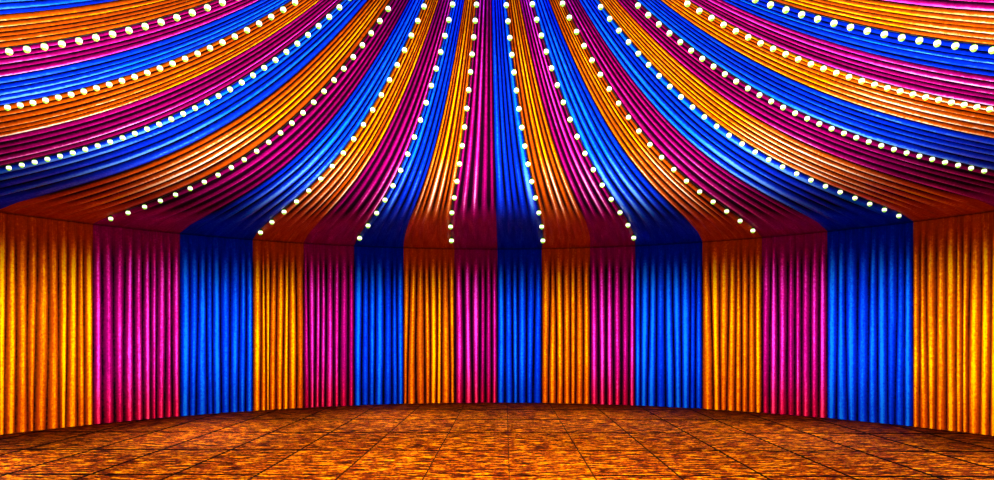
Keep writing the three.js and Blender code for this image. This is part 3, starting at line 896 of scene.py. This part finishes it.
def roofPiece(quarter, first, last):
    seam, lift = canvasColumns(first, last, roof["shares"])
    along = np.linspace(0, 1, roof["rows"])[:, None] ** roof["spacing"]
    radius = eaveRadius + along * (roof["hole"] - eaveRadius)
    size, highest = roof["pucker"]
    inward = (eaveRadius - radius) / highest
    turn = 2 * math.pi * roof["puckers"] * seam + roof["puckerShift"] * np.floor(seam)
    pucker = size * inward * np.exp(1 - inward) * (0.5 + 0.5 * np.sin(turn))
    pucker = pucker * np.sin(math.pi * np.mod(seam, 1))  # none at the seams
    height = roofHeight(radius) + lift - roofSag(seam, radius) + pucker
    places = ringPoints(radius, evenAzimuth(seam), height)
    canvasPiece(f"roof_canvas_{quarter}", seam, places, eaveRadius - radius,
                canvasStripes(seam, roof["rows"]), [f"canopy_{quarter}"])


def valancePiece(quarter, first, last):
    share = 1 / valance["scallops"]
    columns = valance["scallops"] * valance["scallopColumns"]
    seam = np.array([panel + column / columns for panel in range(first, last) for column in range(columns)]
                    + [last], dtype=float)
    along = np.array(valance["rows"])[:, None]
    across = np.abs(np.mod(seam, share) - share / 2) / (share / 2)  # 0 in a scallop's middle, 1 at a notch
    edge = valanceTip + valance["scallopDepth"] * (1 - np.sqrt(np.maximum(1 - across ** 2, 0)))
    height = eaveTop - along * (eaveTop - edge)
    hang = valance["hang"]
    wave = valance["flare"] * along * (hang + (1 - hang) * np.cos(2 * math.pi * valance["scallops"] * seam))
    thick, tall = valance["bead"]
    bead = thick * np.sin(math.pi * np.clip((along - 1 + tall) / tall, 0, 1))
    places = ringPoints(eaveRadius - valance["inset"] + wave + bead, evenAzimuth(seam), height)
    stripes = canvasStripes(seam, len(valance["rows"]))
    stripes[valance["braidFrom"]:] = braidStripe
    canvasPiece(f"valance_{quarter}", seam, places, height, stripes, [],
                outward=False)


def wallPiece(name, first, last, bottom, replaced, restsOn):
    seam, lift = canvasColumns(first, last, wall["shares"])
    height = bottom + np.linspace(0, 1, wall["rows"])[:, None] * (wallTop - bottom)
    start, power = wall["slackBelow"]
    slack = np.sin(math.pi * np.mod(seam, 1)) ** wall["tightAtSeams"]
    slack = slack * np.clip(start - height / wallTop, 0, 1) ** power
    turn = 2 * math.pi * wall["waves"] * seam + wall["shift"] * np.floor(seam)
    turn = turn + wall["wander"] * np.sin(height + np.floor(seam))
    folds = wall["ripple"] * slack * (0.5 + 0.5 * np.sin(turn)) ** wall["sharpness"]
    places = ringPoints(wallOuter - wall["inset"] + lift + folds, evenAzimuth(seam), height)
    canvasPiece(name, seam, places, height, canvasStripes(seam, wall["rows"]), [replaced])


for quarter, ends in tent["quarters"].items():
    roofPiece(quarter, *ends)
    valancePiece(quarter, *ends)
    wallPiece(f"canvas_wall_{quarter}", *beside(*ends), wall["foot"], f"outer_wall_{quarter}",
              [f"eave_beam_{quarter}"])
wallPiece("canvas_door_header", *doorway, doorTop, "door_header", ["door_frame"])
curtainPiece("satin_door_pelmet", *doorway, doorTop, "door_pelmet", 7)
print("canvas up")

# Crown cap, mast, finial and pennant

crown = {
    "capRadius": 1.5,
    "capHole": 0.06,
    "capColumns": 4,  # in each panel
    "peak": 0.957,
    "power": 2.2,
    "rows": 22,
    "seat": 0.0223,
    "lip": 0.012,
    "gather": 0.012,
    # radius and height of the hub's and the mast's corners, upward
    "hubProfile": ((0.045, 7.28), (0.2, 7.28), (0.2, 7.3), (0.47, 7.3), (0.47, 7.32), (0.45, 7.33),
                   (0.45, 7.57), (0.47, 7.58), (0.47, 7.6), (0.2, 7.6), (0.2, 7.62)),
    "mastProfile": ((0.07, 7.62), (0.07, 7.9), (0.078, 7.91), (0.078, 7.95), (0.066, 7.97), (0.05, 8.65),
                    (0.058, 8.66), (0.058, 8.7), (0.045, 8.71), (0.045, 9.25)),
    "ball": 0.13,
    "ballStart": 28,  # degrees from its lowest point, where it meets its foot
    # radius of the foot's corners, and how far they are below the ball's middle
    "ballFoot": ((0, 0.2), (0.05, 0.2), (0.075, 0.19), (0.08, 0.17), (0.06, 0.155), (0.052, 0.14),
                 (0.062, 0.125)),
}
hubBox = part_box("crown_hub")


def capPiece():
    columns = tent["panels"] * crown["capColumns"]
    seam = np.linspace(-backSeam, backSeam, columns + 1)
    along = np.linspace(0, 1, crown["rows"])[:, None]
    radius = crown["capRadius"] + along * (crown["capHole"] - crown["capRadius"])
    height = roofHeight(radius) + crown["seat"] + crown["peak"] * along ** crown["power"]
    lip = crown["lip"] * (along < 0.5 / crown["rows"])
    gather = crown["gather"] * np.sin(math.pi * along) * np.abs(np.sin(math.pi * seam))
    places = ringPoints(radius, evenAzimuth(seam), height + gather - lip)
    stripes = canvasStripes(seam, crown["rows"])
    stripes[:1] = braidStripe
    canvasPiece("crown_cap_canvas", seam, places, radius, stripes, ["crown_cap"],
                closed=True)


# Extruded aluminium, mill finish: grey, softly shining, with fine lines along its length, 11 mm apart to show
def aluminiumMaterial():
    material, tree, shader = startMaterial("extrudedAluminium")
    place = addNode(tree, "TexCoord").outputs["Object"]
    lineScale = addNode(tree, "Mapping", {"Scale": patternScale(11, 11, 500)}, {"Vector": place})
    lines = addNode(tree, "TexNoise", {"Scale": 1, "Detail": 3}, {"Vector": lineScale})
    tone = addNode(tree, "ValToRGB", links={"Fac": lines})
    setRamp(tone, (0.3, "#a9acb0"), (0.7, "#cdd0d3"))
    rough = addNode(tree, "MapRange", {"To Min": 0.28, "To Max": 0.46}, {"Value": lines})
    setSockets(tree, shader, {"Metallic": 1}, {"Base Color": tone, "Roughness": rough})
    return material


# Gold paint on metal: warm, with small dull patches, some 56 mm across
def giltMaterial():
    material, tree, shader = startMaterial("goldPaintedMetal")
    place = addNode(tree, "TexCoord").outputs["Object"]
    patches = addNode(tree, "TexNoise", {"Scale": 1000 / 56, "Detail": 4}, {"Vector": place})
    tone = addNode(tree, "ValToRGB", links={"Fac": patches})
    setRamp(tone, (0.35, "#b98a1e"), (0.65, "#e8bd4a"))
    rough = addNode(tree, "MapRange", {"To Min": 0.2, "To Max": 0.42}, {"Value": patches})
    setSockets(tree, shader, {"Metallic": 0.9}, {"Base Color": tone, "Roughness": rough})
    return material


aluminium = aluminiumMaterial()
gilt = giltMaterial()


# A solid turned about the tent's axis from radius and height pairs that start and end on the axis
def turnedPiece(name, profile, material, replaced=(), steps=48, flutes=0, fluteDepth=0):
    bm = bmesh.new()
    verts = [bm.verts.new((radius, 0, height)) for radius, height in profile]
    edges = [bm.edges.new(pair) for pair in zip(verts, verts[1:])]
    bmesh.ops.spin(bm, geom=verts + edges, cent=(0, 0, 0), axis=(0, 0, 1), angle=2 * math.pi, steps=steps,
                   use_merge=True, use_duplicate=False)
    bmesh.ops.remove_doubles(bm, verts=bm.verts, dist=1e-5)
    for vertex in bm.verts:
        turn = math.atan2(vertex.co.y, vertex.co.x)
        inset = 1 - fluteDepth * (0.5 - 0.5 * math.cos(flutes * turn))
        vertex.co.x *= inset
        vertex.co.y *= inset
    bmesh.ops.recalc_face_normals(bm, faces=bm.faces)
    for face in bm.faces:
        face.smooth = True
    for edge in bm.edges:
        edge.smooth = edge.calc_face_angle(0) < math.radians(40)
    finishPiece(name, bm, [material], replaced)


def mastPiece():
    low = hubBox[0].z
    hub, mast = crown["hubProfile"], crown["mastProfile"]
    profile = ((0, low), (hub[0][0], low), *hub, *mast, (0, mast[-1][1]))
    turnedPiece("crown_mast", profile, aluminium, ["crown_hub"], steps=32)


def finialPiece():
    top = hubBox[1].z
    radius = crown["ball"]
    middle = top - radius
    foot = [(width, middle - drop) for width, drop in crown["ballFoot"]]
    turns = np.linspace(math.radians(crown["ballStart"]), math.pi, 18)[:-1]
    ball = [(radius * math.sin(turn), middle - radius * math.cos(turn)) for turn in turns]
    turnedPiece("gilt_finial", (*foot, *ball, (0, top)), gilt, flutes=16, fluteDepth=0.05)


pennant = {
    "length": 1.15,
    "bottom": 8.72,
    "height": 0.46,
    "hoist": 0.047,
    "taper": 0.985,  # it ends just short of a point
    "wave": 0.075,
    "waves": 9,  # radians along it
    "twist": 1.4,
    "droop": 0.03,
    "columns": 46,
    "rows": 14,
    "thickness": 0.0012,
    "hem": 0.035,
    "weave": 11,  # mm, coarser than the real weave so that it shows
    "fade": 250,  # mm
}


# Spun nylon flag cloth: thin, with a slight sheen and a hem that shows darker
def flagMaterial():
    material, tree, shader = startMaterial("spunNylonFlag")
    cloth = addNode(tree, "UVMap", uv_map="cloth")
    across = addNode(tree, "SeparateXYZ", links={"Vector": cloth}).outputs["X"]
    weave = addNode(tree, "TexChecker", {"Scale": 1000 / pennant["weave"]}, {"Vector": cloth}).outputs["Fac"]
    fade = addNode(tree, "TexNoise", {"Scale": 1000 / pennant["fade"], "Detail": 4}, {"Vector": cloth})
    tone = addNode(tree, "ValToRGB", links={"Fac": fade})
    setRamp(tone, (0.3, "#a80a5c"), (0.7, "#d4227f"))
    hem = addNode(tree, "Math", {1: pennant["hem"]}, {0: across}, operation="LESS_THAN")
    hemmed = addNode(tree, "Mix", {7: hexColour("#9a9a9a")}, {"Factor": hem, 6: tone},
                     data_type="RGBA", blend_type="MULTIPLY")
    bump = addNode(tree, "Bump", {"Strength": 0.1, "Distance": 0.001}, {"Height": weave})
    setSockets(tree, shader, {"Roughness": 0.55, "Sheen Weight": 0.3}, {"Base Color": hemmed, "Normal": bump})
    return material


def pennantPiece():
    along = np.linspace(0, 1, pennant["columns"])[None, :]
    across = np.linspace(0, 1, pennant["rows"])[:, None]
    width = pennant["height"] * (1 - along * pennant["taper"])
    middle = pennant["bottom"] + pennant["height"] / 2
    swing = pennant["wave"] * np.minimum(along * 3, 1) * (0.6 + 0.4 * along)  # none at the mast
    x = pennant["hoist"] + pennant["length"] * pennant["taper"] * along
    y = swing * np.sin(pennant["waves"] * along + pennant["twist"] * (across - 0.5))
    z = middle + (across - 0.5) * width - pennant["droop"] * along ** 2
    places = np.stack(np.broadcast_arrays(x, y, z), axis=-1)
    flat = np.stack(np.broadcast_arrays(along * pennant["length"], across * pennant["height"]), axis=-1)
    stripes = np.zeros((pennant["rows"], pennant["columns"] - 1), dtype=int)
    bm = clothMesh(places, flat, np.ones(places.shape[:2]), stripes)
    piece = finishPiece("pennant_flag", bm, [flagMaterial()], ["pennant"])
    thicken(piece, pennant["thickness"], 0)


rosette = {
    # radius of the corners, and how far they are above its lowest point
    "boss": ((0, 0), (0.06, 0.004), (0.1, 0.02), (0.115, 0.045), (0.1, 0.06), (0.14, 0.066), (0.21, 0.075),
             (0.25, 0.1), (0.24, 0.125), (0.3, 0.135), (0.4, 0.16)),
    # radius of the corners, and how far they are below its top
    "rim": ((0.5, 0.07), (0.52, 0.06), (0.52, 0.01), (0.5, 0), (0, 0)),
    "flutes": 48,
    "fluteDepth": 0.018,
}


def rosettePiece():
    low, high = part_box("ceiling_rosette")
    profile = [(radius, low.z + rise) for radius, rise in rosette["boss"]]
    profile += [(radius, high.z - drop) for radius, drop in rosette["rim"]]
    turnedPiece("gilt_ceiling_rosette", profile, gilt, ["ceiling_rosette"], steps=96,
                flutes=rosette["flutes"], fluteDepth=rosette["fluteDepth"])


capPiece()
mastPiece()
finialPiece()
pennantPiece()
rosettePiece()

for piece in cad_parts.values():
    if not piece.hide_render:
        piece.data.materials.clear()
        piece.data.materials.append(aluminium)
print("crown dressed")

# Studio: pale floor, soft light outside, and soft lights inside the room

studio = {
    "floorSize": 1600,
    "floorColour": "#dedbd5",
    "worldColour": "#eef0f4",
    "worldStrength": 0.6,
    "sun": {"place": (0, -20, 30), "watts": 1.5, "size": 0.5, "aim": (0.45, 0.8, -1.1)},
}

roomLights = {
    "crown": {"place": (0, 0, 4.8), "watts": 5550, "size": 0.6},
    "cone": 167,
    "blend": 0.25,
    "fill": {"place": (0, 0, 2.3), "watts": 120, "size": 0.5},
    "glow": {"place": (0, 0, 5.2), "watts": 120, "size": 0.3, "colour": "#5448ff"},
    # tilt: outward, and what is taken off towards the far wall and the door
    # left: how much stronger the ones at the left are
    "uplights": {"count": 12, "ring": 2.5, "height": 0.2, "tilt": (0.43, 0.12), "up": 1, "watts": 44,
                 "size": 1.2, "spread": 60, "left": 0},
    "washes": {"count": 12, "ring": 6.7, "height": 3.2, "tilt": (0, 0), "up": -1, "watts": 31,
               "size": 1.2, "spread": 66, "left": 1.1},
}


def addLight(name, kind, place, watts, size, aim=(0, 0, -1), colour="#ffffff"):
    data = bpy.data.lights.new(name, kind)
    data.energy = watts
    data.color = hexColour(colour)[:3]
    if kind == "AREA":
        data.shape = "DISK"
        data.size = size
    elif kind == "SUN":
        data.angle = size
    else:
        data.shadow_soft_size = size
    lamp = bpy.data.objects.new(name, data)
    lamp.location = place
    lamp.rotation_mode = "QUATERNION"
    lamp.rotation_quaternion = Vector(aim).to_track_quat("-Z", "Y")
    lamp.visible_camera = False
    bpy.context.scene.collection.objects.link(lamp)
    return lamp


def lightRing(name):
    ring, lamps = roomLights[name], []
    for number in range(ring["count"]):
        turn = (number + 0.5) * 2 * math.pi / ring["count"]
        east, north = math.sin(turn), math.cos(turn)
        place = (ring["ring"] * east, ring["ring"] * north, ring["height"])
        tilt = ring["tilt"][0] - ring["tilt"][1] * north ** 2
        watts = ring["watts"] * (1 + ring["left"] * max(-east, 0))
        lamp = addLight(f"{name}_{number}", "AREA", place, watts, ring["size"],
                        aim=(tilt * east, tilt * north, ring["up"]))
        lamp.data.spread = math.radians(ring["spread"])
        lamps.append(lamp)
    return lamps


def lightRoom():
    crownLamp = addLight("crown_light", "SPOT", **roomLights["crown"])
    crownLamp.data.spot_size = math.radians(roomLights["cone"])
    crownLamp.data.spot_blend = roomLights["blend"]
    lamps = [crownLamp, *[addLight(name, "POINT", **roomLights[name]) for name in ("fill", "glow")]]
    return lamps + lightRing("uplights") + lightRing("washes")


def studioFloor():
    bm = bmesh.new()
    bmesh.ops.create_grid(bm, x_segments=1, y_segments=1, size=studio["floorSize"] / 2)
    bmesh.ops.translate(bm, verts=bm.verts, vec=(0, 0, -0.002))
    mesh = bpy.data.meshes.new("studio_floor")
    bm.to_mesh(mesh)
    bm.free()
    material, tree, shader = startMaterial("paleStudioFloor")
    setSockets(tree, shader, {"Base Color": hexColour(studio["floorColour"]), "Roughness": 0.8})
    mesh.materials.append(material)
    ground = bpy.data.objects.new("studio_floor", mesh)
    bpy.context.scene.collection.objects.link(ground)
    return ground


def setStudio():
    scene = bpy.context.scene
    scene.view_settings.view_transform = "Standard"
    scene.world = bpy.data.worlds.new("studio")
    scene.world.use_nodes = True
    tree = scene.world.node_tree
    setSockets(tree, tree.nodes["Background"], {"Color": hexColour(studio["worldColour"]),
                                                "Strength": studio["worldStrength"]})
    addLight("sun", "SUN", **studio["sun"])
    outside = bpy.data.collections.new("outside_the_room")
    outside.objects.link(studioFloor())
    outside.collection_objects[0].light_linking.link_state = "EXCLUDE"
    for lamp in lightRoom():
        lamp.light_linking.receiver_collection = outside  # so that no glare falls out of the doorway


def setCamera():
    data = bpy.data.cameras.new("camera")
    data.lens = camera["lens"]
    data.sensor_width = camera["sensor"]
    data.shift_y = camera["rise"]
    data.clip_start, data.clip_end = camera["reach"]
    viewer = bpy.data.objects.new("camera", data)
    viewer.location = camera["place"]
    viewer.rotation_euler = (math.pi / 2, 0, 0)
    bpy.context.scene.collection.objects.link(viewer)
    bpy.context.scene.camera = viewer


setStudio()
setCamera()
print("studio set")
